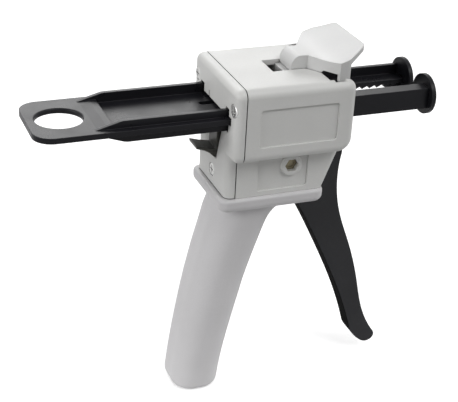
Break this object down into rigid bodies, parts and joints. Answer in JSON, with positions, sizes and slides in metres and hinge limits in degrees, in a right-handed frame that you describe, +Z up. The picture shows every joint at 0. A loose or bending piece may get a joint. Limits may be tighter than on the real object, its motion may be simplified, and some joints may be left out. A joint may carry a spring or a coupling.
{
  "type": "twin-barrel cartridge dispensing tool",
  "caption": "Hand-held dispensing tool for a twin-barrel paste cartridge: toothed plunger with a finger ring, trigger with a ratchet pawl, release tab and fold-down lock lever.",
  "frame": {"origin": "on the cartridge seat, midway between the two piston axes", "axes": "+X along the pistons, the way the paste leaves; +Z up, away from the handle; the nut of the trigger's axle is on the -Y side"},
  "size_m": [0.1835, 0.053, 0.1703],
  "materials": {
    "casing": "satin",
    "lever_white": "satin",
    "handle_grey": "satin",
    "plunger_dark": "satin",
    "trigger_dark": "satin",
    "catch_dark": "satin",
    "steel": "brushed",
    "nut_brass": "tarnished",
    "spring_wire": "drawn"
  },
  "bodies": {
    "casing": {"main_housing": "casing", "rear_cover": "casing", "cover_screws": "steel", "grip_handle": "handle_grey", "handle_screws": "steel", "pivot_bolt": "steel", "pivot_nut": "nut_brass", "trigger_bush": "steel", "release_pin": "steel", "release_spring": "spring_wire"},
    "plunger": {"plunger": "plunger_dark", "piston_disc_near": "plunger_dark", "piston_disc_far": "plunger_dark"},
    "trigger": {"trigger": "trigger_dark", "trigger_spring": "spring_wire", "pawl_pin": "steel"},
    "pawl": {"drive_pawl": "steel", "pawl_spring": "spring_wire"},
    "release": {"release_lever": "catch_dark"},
    "lock": {"lock_lever": "lever_white"}
  },
  "joints": [
    {"name": "plunger_slide", "type": "slide", "parent": "casing", "child": "plunger", "axis": [1, 0, 0], "range_m": [-0.054, 0.04]},
    {"name": "trigger_pull", "type": "hinge", "parent": "casing", "child": "trigger", "pos_m": [-0.015, 0, -0.0243], "axis": [0, 1, 0], "range_deg": [0, 28], "stiffness_Nm_per_rad": 0.5, "springref_deg": -17.19},
    {"name": "pawl_tilt", "type": "hinge", "parent": "trigger", "child": "pawl", "pos_m": [-0.0205, 0, -0.012], "axis": [0, 1, 0], "range_deg": [0, 12], "stiffness_Nm_per_rad": 0.02, "springref_deg": -11.46},
    {"name": "catch_release", "type": "hinge", "parent": "casing", "child": "release", "pos_m": [-0.037, 0, -0.0096], "axis": [0, 1, 0], "range_deg": [0, 10], "stiffness_Nm_per_rad": 0.05, "springref_deg": -11.46, "deforming": ["release_spring"]},
    {"name": "lock_fold", "type": "hinge", "parent": "casing", "child": "lock", "pos_m": [-0.0082, 0, 0.014], "axis": [0, -1, 0], "range_deg": [0, 85]}
  ]
}
